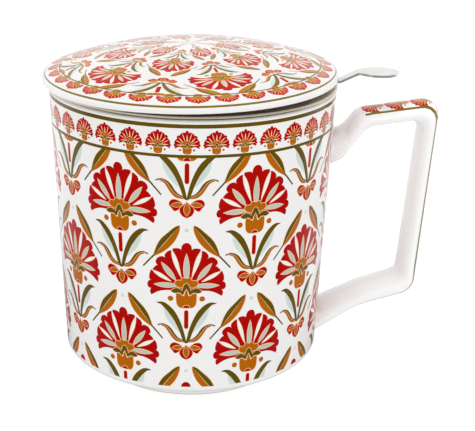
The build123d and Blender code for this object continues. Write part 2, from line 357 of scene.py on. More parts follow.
def stem():
    """The red bar under the flower, the sword leaves and the wavy leaves."""
    bar = arc((0, -22.0), (0.62, 0.62), 0, 180, 5) + arc((0, -26.9), (0.62, 0.62), 180, 360, 5)
    upper = curve([(8.9, -19.4), (7.1, -19.15), (5.5, -19.9), (3.8, -21.6), (2.6, -23.6), (1.55, -26.1),
                   (0.72, -28.9), (0, -32.3)], 3)
    lower = curve([(0.55, -32.0), (1.14, -30.6), (1.97, -28.1), (3.2, -25.3), (4.45, -23.3),
                   (5.9, -21.35), (7.5, -19.75)], 3)
    shade = curve([(6.7, -20.6), (6.6, -22.4), (5.7, -24.7), (4.4, -26.4), (2.9, -28.0), (1.95, -28.6)], 3)
    shade += curve([(3.2, -25.3), (4.45, -23.3), (5.9, -21.35)], 2)
    wave_top = curve([(8.8, -26.8), (7.9, -26.4), (6.9, -26.25), (5.5, -26.8), (4.45, -27.8), (3.4, -29.5),
                      (2.4, -30.6), (1.1, -31.3), (0, -32.2)], 3)
    wave_middle = curve([(0.6, -31.95), (1.4, -31.5), (2.4, -31.0), (3.5, -30.2), (4.55, -28.8), (5.5, -27.4),
                         (6.9, -26.55), (8.0, -26.6)], 3)
    wave_low = curve([(7.6, -26.75), (6.3, -27.4), (5.3, -28.9), (4.24, -30.5), (3.0, -31.6), (1.55, -31.95),
                      (0.6, -31.98)], 3)
    return [
        *both(SAGE, shade),
        *single(RED, bar, 0.1),
        *both(OLIVE, grown(wave_top + wave_middle, 0.16)),
        *both(OCHRE, wave_middle[1:] + wave_low, 0.09),
        *both(OLIVE, grown(upper + lower, 0.14)),
    ]


def floret():
    """The small three-petalled flower at the foot of the leaves."""
    side = curve([(1.1, -33.4), (2.5, -32.4), (3.9, -32.2), (4.75, -32.9), (4.9, -33.9), (4.3, -34.7),
                  (3.4, -35.75), (2.3, -35.2), (1.1, -34.0)], 3)
    middle = curve([(0, -32.9), (1.0, -33.9), (1.9, -34.9), (1.95, -36.0), (1.25, -37.1), (0.5, -37.55),
                    (0, -37.8)], 3)
    return [
        *both(RED, side, 0.12),
        *single(RED, middle + mirrored(middle)[1:-1], 0.12),
        *both(OCHRE, lens((1.0, -33.6), (4.4, -34.0), 0.68), 0.12),
        *single(OCHRE, lens((0, -33.2), (0, -37.2), 0.86), 0.12),
    ]


def feather():
    """The two-coloured leaf that leans over the flower, with its long stalk."""
    rib = curve([(2.07, 5.2), (3.4, 3.2), (5.07, 1.05), (6.7, -0.8), (8.2, -2.8), (9.5, -4.4)], 3)
    upper = curve([(2.07, 5.2), (3.4, 4.55), (5.07, 2.98), (6.7, 1.4), (7.76, 0), (8.6, -1.7),
                   (9.5, -4.4)], 3)
    lower = curve([(2.07, 5.2), (2.1, 4.0), (2.55, 2.45), (3.6, 0.3), (5.3, -1.7), (7.1, -3.2),
                   (9.3, -4.5)], 3)
    stalk = [(9.55, -4.2), (11.1, -6.0), (12.85, -8.05), (12.6, -8.3), (10.8, -6.2), (9.25, -4.5)]
    return [
        *both(KEYLINE, grown(upper + lower[:0:-1], 0.26)),
        *both(OCHRE, grown(rib + lower[:0:-1], 0.14)),
        *both(OLIVE, grown(upper + rib[-2:0:-1], 0.1)),
        *both(OLIVE, grown(stalk, 0.07)),
        *both(KEYLINE, lens((2.4, 4.6), (9.2, -4.1), 0.07)),
    ]


def palmette(steps=2, bloom=1.3):
    """The flower's head alone, as in the borders, with a larger heart."""
    thin = slots(2 * steps + 1, 0.62, KEYLINE, KEYLINE, 0.0)
    large = placed(heart(steps), lambda x, y: (x * bloom, (y + 16) * bloom - 16))
    return [*single(RED, fan(steps + 1)), *thin, *large]


def flower():
    """The whole repeat, from the lowest figure to the topmost."""
    return [
        *stem(),
        *floret(),
        *single(RED, fan(5)),
        *slots(8),
        *heart(3),
        *feather(),
        *single(SAGE, dot((0, 3.8), 0.6)),
    ]


FLOWER = flower()
PALMETTE = palmette()


def cut(figures, axis, level, keep):
    """The part of the figures on one side of a line; keep is 1 above the level and -1 below it."""
    kept = []
    for paint, outline in figures:
        part = []
        for a, b in zip(outline, outline[1:] + outline[:1]):
            depth_a, depth_b = (a[axis] - level) * keep, (b[axis] - level) * keep
            if depth_a >= 0:
                part.append(a)
            if depth_a * depth_b < 0:
                t = depth_a / (depth_a - depth_b)
                part.append((a[0] + (b[0] - a[0]) * t, a[1] + (b[1] - a[1]) * t))
        if len(part) > 2:
            kept.append((paint, part))
    return kept


# ---------------- surfaces

def added(name, data):
    """A new object in the scene."""
    made = bpy.data.objects.new(name, data)
    bpy.context.collection.objects.link(made)
    return made


class Shell:
    """A welded surface in millimetres: points that coincide are one vertex."""

    def __init__(self):
        self.points, self.normals, self.known = [], [], {}
        self.faces, self.paints, self.flat = [], [], []

    def point(self, place, normal):
        key = tuple(round(c, WELD_DIGITS) for c in place)
        if key not in self.known:
            self.known[key] = len(self.points)
            self.points.append(place)
            self.normals.append(normal)
        return self.known[key]

    def face(self, corners, paint=0, flat=False):
        distinct = list(dict.fromkeys(corners))
        if len(distinct) > 2:
            self.faces.append(distinct)
            self.paints.append(paint)
            self.flat.append(flat)

    def build(self, name, materials, body, place=Matrix.Identity(4)):
        mesh = bpy.data.meshes.new(name)
        mesh.from_pydata([Vector(p) * MM for p in self.points], [], self.faces)
        for material in materials:
            mesh.materials.append(material)
        mesh.polygons.foreach_set("material_index", self.paints)
        mesh.polygons.foreach_set("use_smooth", [not flat for flat in self.flat])
        mesh.transform(place)
        turned = [tuple(place.to_3x3() @ Vector(n)) for n in self.normals]
        own = (0.0, 0.0, 0.0)   # leaves a flat face its own normal
        mesh.normals_split_custom_set(
            [own if flat else turned[i] for face, flat in zip(self.faces, self.flat) for i in face]
        )
        mesh.update()
        piece = added(name, mesh)
        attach(piece, body)
        return piece


def section_normals(section):
    """The normal at each point of a section (radius, height), to its left-hand side."""
    normals = []
    for i in range(len(section)):
        total = Vector((0.0, 0.0))
        for a, b in ((i - 1, i), (i, i + 1)):
            if a >= 0 and b < len(section):
                run = Vector(section[b]) - Vector(section[a])
                total += Vector((-run.y, run.x))
        normals.append(total.normalized())
    return normals


def round_point(phi, radius, height):
    """The place at this angle, radius and height."""
    a = math.radians(phi - HANDLE_PHI)
    return (radius * math.cos(a), radius * math.sin(a), height)


def lathe(shell, section, paint_at):
    """Turns a section about the axis; the outside lies on the left of its direction."""
    normals = section_normals(section)
    rings = []
    for (radius, height), normal in zip(section, normals):
        ring = []
        for i in range(SEGMENTS):
            phi = HANDLE_PHI + 360 * i / SEGMENTS
            towards = round_point(phi, normal.x, normal.y)
            ring.append(shell.point(round_point(phi, radius, height), towards))
        rings.append(ring)
    for index, (this, after) in enumerate(zip(rings, rings[1:])):
        for i in range(SEGMENTS):
            j = (i + 1) % SEGMENTS
            shell.face([this[i], after[i], after[j], this[j]], paint_at(index))


def circle(radius):
    """The lathe's points on a circle, laid flat."""
    return [round_point(HANDLE_PHI + 360 * i / SEGMENTS, radius, 0)[:2] for i in range(SEGMENTS)]


def rectangle(across, along):
    """The border of a flat sheet, with a point at each of these places on its sides."""
    return (
        [(u, along[0]) for u in across] + [(across[-1], v) for v in along[1:]]
        + [(u, along[-1]) for u in across[-2::-1]] + [(across[0], v) for v in along[-2:0:-1]]
    )


def cut_out(border, seeds, figures):
    """A flat sheet with the figures cut into it: its points, triangles and their paints."""
    flat, edges = [], []
    for outline in [border] + [o for paint, o in figures]:
        first = len(flat)
        flat += [Vector(p) for p in outline]
        edges += [(i, i + 1) for i in range(first, len(flat) - 1)] + [(len(flat) - 1, first)]
    flat += [Vector(p) for p in seeds]
    places, _, triangles, *_ = delaunay_2d_cdt(flat, edges, [], 0, 1e-6, False)
    corners = np.array([tuple(p) for p in places])
    centres = corners[np.array(triangles)].mean(axis=1)
    return corners, triangles, painted(centres, figures)


def print_on(shell, border, seeds, figures, lay):
    """Cuts the figures into a flat sheet with this border and lays it with lay(x, y)."""
    corners, triangles, paints = cut_out(border, seeds, figures)
    ids = [shell.point(*lay(x, y)) for x, y in corners]
    for triangle, paint in zip(triangles, paints):
        shell.face([ids[i] for i in triangle], int(paint))


def perforate(shell, border, seeds, centres, lay, joined):
    """A sheet of metal with holes: both skins, laid with lay(x, y, depth), and the walls of its free
    edges, but not where joined(x, y) says that the border goes on in another surface."""
    holes = [(1, dot(centre, HOLE_RADIUS)) for centre in centres]
    corners, triangles, inside = cut_out(border, seeds, holes)
    outer = [shell.point(*lay(x, y, 0.0)) for x, y in corners]
    inner = [shell.point(*lay(x, y, SHEET)) for x, y in corners]
    free = {}
    for triangle in (t for t, hole in zip(triangles, inside) if not hole):
        shell.face([outer[i] for i in triangle])
        shell.face([inner[i] for i in reversed(triangle)])
        for a, b in zip(triangle, [*triangle[1:], triangle[0]]):
            edge = frozenset((outer[a], outer[b]))
            if free.pop(edge, None) is None:
                free[edge] = (a, b)
    for a, b in free.values():
        if not (joined(*corners[a]) and joined(*corners[b])):
            shell.face([outer[b], outer[a], inner[a], inner[b]], flat=True)


def painted(centres, figures):
    """The topmost figure's paint at each centre, by counting the outline's crossings."""
    paints = np.full(len(centres), GLAZE)
    order = np.argsort(centres[:, 0])
    sorted_across = centres[order, 0]
    for paint, outline in figures:
        start = np.array(outline)
        end = np.roll(start, -1, axis=0)
        low, high = start.min(axis=0), start.max(axis=0)
        first, last = np.searchsorted(sorted_across, (low[0], high[0]))
        near = order[first:last]
        near = near[(centres[near, 1] > low[1]) & (centres[near, 1] < high[1])]
        x, y = centres[near].T
        x0, y0, x1, y1 = (v[:, None] for v in (*start.T, *end.T))
        spans = (y0 > y) != (y1 > y)
        rise = np.where(y1 == y0, 1.0, y1 - y0)
        crossed = spans & (x < (x1 - x0) * (y - y0) / rise + x0)
        paints[near[crossed.sum(axis=0) % 2 == 1]] = paint
    return paints


def along_section(section, axis):
    """A function that gives radius, height and normal where the section passes a radius (axis 0)
    or a height (axis 1)."""
    rows = sorted((point[axis], *point, *normal) for point, normal in zip(section, section_normals(section)))
    at, radii, heights, outward, upward = np.array(rows).T

    def find(value):
        radius, height = np.interp(value, at, radii), np.interp(value, at, heights)
        normal = Vector((np.interp(value, at, outward), np.interp(value, at, upward)))
        return float(radius), float(height), normal.normalized()

    return find


# ---------------- materials

NOISE_RANGE = (0.3, 0.7)      # where most of a noise's values lie


def linear(red, green, blue):
    """An sRGB colour, 0 to 255, as Blender's linear colour."""
    channels = [c / 255 for c in (red, green, blue)]
    return (*[c / 12.92 if c <= 0.04045 else ((c + 0.055) / 1.055) ** 2.4 for c in channels], 1.0)


def node(tree, kind, links=None, **settings):
    """Adds a shader node; links gives what feeds its sockets, settings its values or sockets."""
    made = tree.nodes.new(kind)
    for key, value in settings.items():
        if hasattr(made, key):
            setattr(made, key, value)
        else:
            made.inputs[key.replace("_", " ")].default_value = value
    for socket, source in (links or {}).items():
        tree.links.new(source, made.inputs[socket])
    return made


def material(name):
    """An empty node material, its tree and its surface shader."""
    made = bpy.data.materials.new(name)
    made.use_nodes = True
    tree = made.node_tree
    return made, tree, tree.nodes["Principled BSDF"]


def noise(tree, scale, detail=3.0, roughness=0.5, stretch=(1, 1, 1)):
    """Noise in the object's own space; scale is cells per metre."""
    place = node(tree, "ShaderNodeTexCoord").outputs["Object"]
    sized = node(tree, "ShaderNodeMapping", {"Vector": place}, Scale=stretch)
    return node(
        tree, "ShaderNodeTexNoise", {"Vector": sized.outputs[0]},
        Scale=scale, Detail=detail, Roughness=roughness,
    ).outputs["Fac"]


def ranged(tree, value, low, high, below, above):
    """A value's stretch from low to high, turned into one from below to above, and held there."""
    return node(
        tree, "ShaderNodeMapRange", {"Value": value}, From_Min=low, From_Max=high, To_Min=below, To_Max=above,
    ).outputs["Result"]


def blended(tree, source, first, second):
    """A colour between two colours."""
    mix = node(tree, "ShaderNodeMix", data_type="RGBA")
    tree.links.new(source, mix.inputs[0])
    mix.inputs[6].default_value = first
    mix.inputs[7].default_value = second
    return mix.outputs[2]


def bump(tree, shader, height, distance):
    """Feeds a height, in metres at full value, to the shader's normal."""
    made = node(tree, "ShaderNodeBump", {"Height": height}, Strength=1.0, Distance=distance)
    tree.links.new(made.outputs["Normal"], shader.inputs["Normal"])


def glaze(name, colour, shade, cloud):
    """Fired glaze over a body or a print: faint clouds of colour and an even, slightly wavy gloss."""
    made, tree, shader = material(name)
    clouds = noise(tree, cloud, 4.0)
    tree.links.new(blended(tree, clouds, linear(*colour), linear(*shade)), shader.inputs["Base Color"])
    tree.links.new(ranged(tree, noise(tree, 240.0), *NOISE_RANGE, 0.05, 0.11), shader.inputs["Roughness"])
    shader.inputs["IOR"].default_value = 1.5
    bump(tree, shader, noise(tree, 420.0, 2.0), 0.000012)
    return made


def bisque_and_shade(name, colour, shade):
    """A bare, ground face; darkened, it also serves as painted shade on the lid's seat."""
    made, tree, shader = material(name)
    grain = noise(tree, 1800.0, 6.0)
    tree.links.new(blended(tree, grain, linear(*colour), linear(*shade)), shader.inputs["Base Color"])
    tree.links.new(ranged(tree, noise(tree, 700.0), *NOISE_RANGE, 0.6, 0.85), shader.inputs["Roughness"])
    bump(tree, shader, grain, 0.00006)
    return made


def steel(name, colour, shade, gloss, metallic=1.0):
    """Stainless sheet with fine drawn lines that run upwards."""
    made, tree, shader = material(name)
    lines = noise(tree, 260.0, 6.0, 0.65, (1, 1, 0.15))
    tree.links.new(blended(tree, lines, linear(*colour), linear(*shade)), shader.inputs["Base Color"])
    tree.links.new(ranged(tree, lines, *NOISE_RANGE, *gloss), shader.inputs["Roughness"])
    shader.inputs["Metallic"].default_value = metallic
    bump(tree, shader, lines, 0.000006)
    return made


PORCELAIN = glaze("porcelain_glaze", (240, 239, 238), (233, 232, 231), 22.0)
# each paint's clouds, in cells per metre, in the order of the paints' numbers
CLOUDS = {"keyline": 60.0, "red": 180.0, "ochre": 180.0, "olive": 180.0, "grey": 180.0, "sage": 260.0}


def paints(kind, *pairs):
    """The porcelain's glaze and those of a print's figures, each with a colour and its shade."""
    figures = zip(CLOUDS.items(), pairs)
    return [PORCELAIN, *(glaze(f"{kind}_{name}", *pair, cloud) for (name, cloud), pair in figures)]


PAINTS = paints(
    "print",
    ((250, 214, 168), (247, 196, 148)),
    ((179, 6, 2), (163, 4, 1)),
    ((182, 103, 3), (170, 89, 2)),
    ((104, 82, 8), (90, 70, 4)),
    ((194, 196, 182), (184, 186, 172)),
    ((194, 207, 199), (212, 222, 214)),
)
PAINTS.append(bisque_and_shade("bare_foot", (222, 214, 202), (200, 190, 176)))
# the lid's and the handle's print is thinner and warmer
LIGHT_PAINTS = paints(
    "light",
    ((240, 200, 140), (236, 186, 120)),
    ((198, 30, 16), (184, 18, 10)),
    ((198, 130, 12), (190, 114, 6)),
    ((134, 112, 26), (118, 98, 16)),
    ((214, 208, 192), (206, 198, 182)),
    ((206, 216, 206), (226, 232, 226)),
)
# painted shade: the lid's seat under its rim is dark, so that the gap between the lid and the infuser's
# flange looks dark
LIGHT_PAINTS.append(bisque_and_shade("seat_painted_shade", (128, 118, 104), (108, 98, 86)))
# painted light: the handle's glaze is a lighter, neutral copy of the porcelain's glaze, though both are one
# porcelain
HANDLE_PAINTS = [glaze("handle_glaze_lightened", (249, 249, 249), (245, 245, 245), 22.0), *LIGHT_PAINTS[1:-1]]
# painted light: the tab's steel is a lighter copy of the steel, near-white and only partly metallic; its low
# roughness is its polish
STEEL_LIGHTENED = steel("steel_polished_lightened", (248, 247, 244), (240, 238, 234), (0.16, 0.3), 0.75)
# painted shade and reflection: the collar's steel is a darker, beige copy of the steel, standing in for the
# warm reflections and the shade under the lid; its roughness is its drawn finish
WARM_SHADE_AND_REFLECTION = steel("steel_drawn_painted_shade_and_reflection", (236, 227, 206), (226, 216, 192), (0.28, 0.4))
PERFORATED = steel("steel_perforated", (206, 202, 194), (188, 184, 174), (0.22, 0.36))


# ---------------- porcelain pieces

def wall_radius(height):
    """Outside radius of the mug's wall."""
    return BASE_RADIUS + (RIM_RADIUS - BASE_RADIUS) * height / MUG_HEIGHT


def mug_section():
    """The mug's section in two parts: from the middle of the inside floor over the lip to the print's
    lower edge, and from the corner below it round the foot to the middle of its recess."""
    inner_lip = RIM_RADIUS - WALL
    inner_floor = wall_radius(FLOOR_TOP) - WALL
    inside = rounded(
        [(0, FLOOR_TOP), (inner_floor, FLOOR_TOP), (inner_lip, MUG_HEIGHT), (RIM_RADIUS, MUG_HEIGHT),
         (wall_radius(DECAL_BOTTOM), DECAL_BOTTOM)],
        [FLOOR_CORNER, LIP_ROUND, LIP_ROUND],
        9.0,
    )
    corner_top = SHOULDER_HEIGHT + CORNER_HEIGHT
    corner_radius = wall_radius(corner_top)
    corner = arc((corner_radius - CORNER_WIDTH, corner_top), (CORNER_WIDTH, CORNER_HEIGHT), 0, -90, 12)
    foot_inside = FOOT_BOTTOM_RADIUS - FOOT_WIDTH
    foot = rounded(
        [corner[-1], (FOOT_RADIUS, SHOULDER_HEIGHT), (FOOT_BOTTOM_RADIUS, 0),
         (foot_inside, 0), (foot_inside, FOOT_RECESS), (0, FOOT_RECESS)],
        [0.8, FOOT_ROUND, FOOT_ROUND, RECESS_ROUND],
        15.0,
    )
    return inside, corner[:-1] + foot


def shared_line(low, high, step):
    """Values from low to high, both included, evenly spaced by about a step."""
    count = max(1, round((high - low) / step))
    return [low + (high - low) * i / count for i in range(count + 1)]


def wall_print():
    """All figures on the wall, as (degrees from the front times the scale, height)."""
    figures = []
    for column in range(-10, 5):
        middle = (COLUMN_PHI + COLUMN_PITCH * column) * WALL_MM_PER_DEGREE
        for row in range(-1, 3):
            apex = FIRST_APEX + HALF_DROP * (column % 2) + ROW_PERIOD * (row - 1)
            figures += placed(FLOWER, lambda x, y: (middle + x, apex + y))
    figures = cut(figures, 1, DECAL_BOTTOM, 1)
    figures = cut(figures, 1, sum(LOWER_RING) / 2, -1)
    for index in range(-25, 10):
        middle = (COLUMN_PHI + BORDER_PITCH * index) * WALL_MM_PER_DEGREE
        figures += placed(PALMETTE, lambda x, y: (middle + x * BORDER_SCALE, BORDER_APEX + y * BORDER_SCALE))
    start, end = DECAL_START * WALL_MM_PER_DEGREE, DECAL_END * WALL_MM_PER_DEGREE
    line = shared_line(start, end, 3.0)
    for low, high in (LOWER_RING, UPPER_RING):
        figures.append((OLIVE, [(u, low) for u in line] + [(u, high) for u in reversed(line)]))
    return cut(cut(figures, 0, start, 1), 0, end, -1)


def make_mug():
    """The mug's body: a lathe-turned form whose outer wall carries the print."""
    inside, outside = mug_section()
    top = UPPER_RING[1] + 0.15
    bottom = DECAL_BOTTOM - 0.25
    wall = [p for p in inside if p[0] > RIM_RADIUS - LIP_ROUND - 0.1 and p[1] > MUG_HEIGHT - 2]
    wall.append((wall_radius(bottom), bottom))
    on_wall = along_section(wall, 1)
    upper = [p for p in inside[:-1] if p[1] > top or p not in wall] + [on_wall(top)[:2]]
    lower = wall[-1:] + outside
    shell = Shell()
    lathe(shell, upper, lambda i: GLAZE)
    foot_low = 0.8
    lathe(shell, lower, lambda i: BISQUE_AND_SEAT_SHADE if max(lower[i][1], lower[i + 1][1]) < foot_low else GLAZE)

    scale = WALL_MM_PER_DEGREE
    left, right = (HANDLE_PHI - 360) * scale, HANDLE_PHI * scale
    columns = shared_line(left, right, (right - left) / SEGMENTS)
    rows = shared_line(bottom, top, 2.6)
    seeds = [(u, z) for u in columns[1:-1] for z in rows[1:-1]]

    def lay(u, z):
        radius, height, normal = on_wall(z)
        phi = u / scale
        return round_point(phi, radius, height), round_point(phi, normal.x, normal.y)

    print_on(shell, rectangle(columns, rows), seeds, wall_print(), lay)
    piece = shell.build("mug_porcelain", PAINTS, "mug")
    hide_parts("mug_body")


def lid_section():
    """The lid's section about its own axis: out over the dome, round the rim and back below."""
    radius = (DOME_EDGE**2 + DOME_HEIGHT**2) / (2 * DOME_HEIGHT)
    centre = LID_RIM_HEIGHT + DOME_HEIGHT - radius

    def dome(at, sphere):
        return (at, centre + math.sqrt(sphere**2 - at**2))

    outer = [dome(at, radius) for at in shared_line(0, DOME_EDGE - 1.2, 2.0)]
    inner_radius = RING_RADIUS - RING_WIDTH
    ceiling = [dome(at, radius - LID_THICKNESS) for at in shared_line(0, inner_radius - 2.0, 2.0)][::-1]
    rim = rounded(
        [outer[-1], (DOME_EDGE, LID_RIM_HEIGHT), (LID_RADIUS, LID_RIM_HEIGHT / 2), (LID_RADIUS, 0),
         (RING_RADIUS, 0), (RING_RADIUS, -RING_DEPTH), (inner_radius, -RING_DEPTH),
         dome(inner_radius, radius - LID_THICKNESS), ceiling[0]],
        [SHOULDER_ROUND, SHOULDER_ROUND, LID_EDGE_ROUND, 0.5, RING_ROUND, RING_ROUND, 1.0],
        10.0,
    )
    return outer[:-1] + rim + ceiling[1:]


def lid_print():
    """All figures on the lid, seen from above, about its own axis."""
    per_degree = COLUMN_PITCH * WALL_MM_PER_DEGREE / LID_COLUMN_PITCH
    field = []
    for column in range(12):
        middle = LID_COLUMN_PHI + LID_COLUMN_PITCH * column
        for apex in LID_APEXES[column % 2]:
            field += placed(FLOWER, lambda x, y: (middle + x / per_degree, apex + y * LID_SQUEEZE))
    field = cut(cut(field, 1, 0.3, 1), 1, sum(LID_INNER_RING) / 2, -1)
    pitch = 360 / LID_BORDER_COUNT
    widen = pitch / (BORDER_PITCH * WALL_MM_PER_DEGREE) * BORDER_SCALE
    deepen = BORDER_SCALE * LID_BORDER_SQUEEZE
    for index in range(LID_BORDER_COUNT):
        middle = LID_BORDER_PHI + pitch * index
        field += placed(PALMETTE, lambda x, y: (middle + x * widen, LID_BORDER_APEX + y * deepen))
    front = round_point(0, LID_PRINT_SHIFT, 0)

    def bend(phi, radius):
        x, y, _ = round_point(phi, radius, 0)
        return (x + front[0], y + front[1])

    figures = placed(field, bend)
    around = shared_line(0, 360, 360 / SEGMENTS)[:-1]
    for low, high in (LID_INNER_RING, LID_OUTER_RING):
        outside = [bend(phi, high) for phi in around]
        inside = [bend(phi, low) for phi in around]
        for i in range(0, SEGMENTS, SEGMENTS // 4):
            stretch = [(i + k) % SEGMENTS for k in range(SEGMENTS // 4 + 1)]
            ring = [outside[k] for k in stretch] + [inside[k] for k in reversed(stretch)]
            figures.append((OLIVE, ring))
    return figures


def make_lid():
    """The lid: a turned dome and rim whose top carries the print, laid a little askew."""
    section = lid_section()
    start = next(i for i, p in enumerate(section) if p[0] > LID_PRINT_EDGE)
    on_dome = along_section(section[:start + 1], 0)
    shell = Shell()
    below = [on_dome(LID_PRINT_EDGE)[:2]] + section[start:]
    # painted shade: the seat under the lid's rim takes the dark paint
    shaded_seat = [p[1] < 0.1 and RING_RADIUS - RING_WIDTH < p[0] < LID_RADIUS - 0.6 for p in below]
    lathe(shell, below, lambda i: BISQUE_AND_SEAT_SHADE if shaded_seat[i] and shaded_seat[i + 1] else GLAZE)
    seeds = [(0.0, 0.0)]
    for radius in shared_line(2.0, LID_PRINT_EDGE - 1.2, 2.0):
        count = round(math.tau * radius / 2.0)
        seeds += [round_point(360 * i / count, radius, 0)[:2] for i in range(count)]

    def lay(x, y):
        radius, height, normal = on_dome(math.hypot(x, y))
        spot = Vector((x, y)).normalized() if radius > 1e-9 else Vector((0.0, 0.0))
        return (x, y, height), (spot.x * normal.x, spot.y * normal.x, normal.y)

    print_on(shell, circle(LID_PRINT_EDGE), seeds, lid_print(), lay)
    place = Matrix.Translation(Vector((-LID_SHIFT, 0, LID_SEAT)) * MM) @ Matrix.Rotation(
        -math.radians(LID_TILT), 4, "Y"
    )
    piece = shell.build("lid_porcelain", LIGHT_PAINTS, "lid", place)
    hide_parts("lid")


def handle_surface():
    """The stations of the handle, counted along its outer outline, and a function that gives place
    and normal at a distance along it and an angle round its section, 0 on the crest."""
    outer = rounded(HANDLE_OUTER, HANDLE_OUTER_ROUNDS, pieces=8)
    inner = rounded(HANDLE_INNER, HANDLE_INNER_ROUNDS, pieces=8)
    pairs = divided(outer, inner, 1.6)
    stations = [0.0]
    for (a, _), (b, _) in zip(pairs, pairs[1:]):
        stations.append(stations[-1] + math.dist(a, b))
    middles = [Vector((a[0] + b[0], 0, a[1] + b[1])) / 2 for a, b in pairs]
    halves = [Vector((a[0] - b[0], 0, a[1] - b[1])) / 2 for a, b in pairs]

    def at(distance, angle):
        i = min(max(bisect(stations, distance), 1), len(stations) - 1)
        share = (distance - stations[i - 1]) / (stations[i] - stations[i - 1])
        middle = middles[i - 1].lerp(middles[i], share)
        outward = halves[i - 1].lerp(halves[i], share)
        return middle + outward * math.cos(angle) + Vector((0, -HANDLE_HALF_WIDTH * math.sin(angle), 0))

    def lay(distance, angle):
        low, high = max(distance - 0.05, 0.0), min(distance + 0.05, stations[-1])
        along = at(high, angle) - at(low, angle)
        across = at(distance, angle + 0.01) - at(distance, angle - 0.01)
        return tuple(at(distance, angle)), tuple(across.cross(along).normalized())

    return stations, lay


def handle_print():
    """All figures on the handle, as (angle round the section times HANDLE_SPREAD, distance along
    the outer outline)."""
    angles = np.linspace(0, math.pi, 91)
    steps = np.hypot(HANDLE_HALF_WIDTH * np.cos(angles), HANDLE_HALF_THICKNESS * np.sin(angles))
    reach = np.concatenate(([0.0], np.cumsum((steps[1:] + steps[:-1]) / 2 * angles[1])))

    def angle(across):
        return HANDLE_SPREAD * math.copysign(float(np.interp(abs(across), reach, angles)), across)

    figures = []
    wide, long = HANDLE_PALMETTE
    count = math.ceil((HANDLE_PRINT_END - HANDLE_FIRST_APEX) / HANDLE_PITCH)
    for index in range(count):
        apex = HANDLE_FIRST_APEX + HANDLE_PITCH * index
        figures += placed(PALMETTE, lambda x, y: (angle(x * wide), apex - y * long))
    run = shared_line(HANDLE_PRINT_START, HANDLE_PRINT_END, 2.0)
    near, far, broad = HANDLE_LINES
    for side in (-1, 1):
        edge = [float(np.interp(s, HANDLE_UPRIGHT, (far, broad, broad, far))) for s in run]
        line = [(angle(side * near), s) for s in run]
        figures.append((OLIVE, line + [(angle(side * e), s) for e, s in zip(edge, run)][::-1]))
    return cut(cut(figures, 1, HANDLE_PRINT_START, 1), 1, HANDLE_PRINT_END, -1)


def make_handle():
    """The handle: an oval section drawn along its outlines, with the print on its outer side."""
    stations, lay = handle_surface()
    angles = [-math.pi + math.tau * i / HANDLE_SEGMENTS for i in range(HANDLE_SEGMENTS + 1)]
    upper = [s for s in stations if s < HANDLE_PRINT_START - 0.3] + [HANDLE_PRINT_START]
    lower = [HANDLE_PRINT_END] + [s for s in stations if s > HANDLE_PRINT_END + 0.3]
    between = [s for s in stations if HANDLE_PRINT_START + 0.3 < s < HANDLE_PRINT_END - 0.3]
    shell = Shell()
    for run in (upper, lower):
        rings = [[shell.point(*lay(s, a)) for a in angles] for s in run]
        for this, after in zip(rings, rings[1:]):
            for i in range(HANDLE_SEGMENTS):
                shell.face([this[i], this[i + 1], after[i + 1], after[i]])
    for distance, order in ((upper[0], 1), (lower[-1], -1)):
        ring = [shell.point(*lay(distance, a)) for a in angles[:-1]]
        shell.face(ring[::-order], flat=True)
    across = [a * HANDLE_SPREAD for a in angles]
    border = rectangle(across, [HANDLE_PRINT_START, *between, HANDLE_PRINT_END])
    seeds = [(a, s) for a in across[1:-1] for s in between]
    print_on(shell, border, seeds, handle_print(), lambda a, s: lay(s, a / HANDLE_SPREAD))
    piece = shell.build("handle_porcelain", HANDLE_PAINTS, "mug")
    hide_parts("mug_handle")


# ---------------- infuser

def make_collar():
    """The infuser's collar: a flange with a rolled edge, a neck and a sleeve round the tube."""
    roll = arc(ROLL_PLACE, (ROLL_RADIUS, ROLL_RADIUS), 172, -120, 24)
    neck, sleeve = COLLAR_RADIUS + COLLAR_SHEET, SLEEVE_RADIUS + COLLAR_SHEET
    outer = rounded(
        [(ROLL_PLACE[0] - ROLL_RADIUS, MUG_HEIGHT), (neck, MUG_HEIGHT), (neck, NECK_TOP),
         (sleeve, NECK_BOTTOM), (sleeve, SLEEVE_BOTTOM)],
        [0.8, 1.0, 1.0],
    )
    inner = rounded(
        [(SLEEVE_RADIUS, SLEEVE_BOTTOM), (SLEEVE_RADIUS, NECK_BOTTOM), (COLLAR_RADIUS, NECK_TOP),
         (COLLAR_RADIUS, MUG_HEIGHT + COLLAR_SHEET), roll[0]],
        [1.0, 1.0, 0.8],
    )
    shell = Shell()
    lathe(shell, outer + inner + roll[1:] + outer[:1], lambda i: 0)
    piece = shell.build("infuser_flange", [WARM_SHADE_AND_REFLECTION], "infuser")
    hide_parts("infuser_collar")


def make_tube():
    """The infuser's wall: a tube of perforated sheet."""
    bottom, top = TUBE_HEIGHTS
    columns, rows = TUBE_HOLES
    width = 360 / columns
    scale = math.radians(1) * TUBE_RADIUS
    centres = [
        ((column + 0.25 + 0.5 * (row % 2)) * width * scale, TUBE_FIRST_ROW + row * HOLE_ROW_PITCH)
        for row in range(rows) for column in range(columns)
    ]
    around = shared_line(0, 360 * scale, width * scale)
    edge = shared_line(bottom, top, HOLE_PITCH)
    low, high = TUBE_FIRST_ROW - HOLE_ROW_PITCH, TUBE_FIRST_ROW + rows * HOLE_ROW_PITCH
    seeds = [(u, z) for u in around[1:-1] for z in edge[1:-1] if not low < z < high]

    def lay(u, z, depth):
        phi = HANDLE_PHI + u / scale
        return round_point(phi, TUBE_RADIUS - depth, z), round_point(phi, -1 if depth else 1, 0)

    shell = Shell()
    perforate(shell, rectangle(around, edge), seeds, centres, lay, lambda u, z: False)
    piece = shell.build("infuser_tube", [PERFORATED], "infuser")
    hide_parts("infuser_wall")


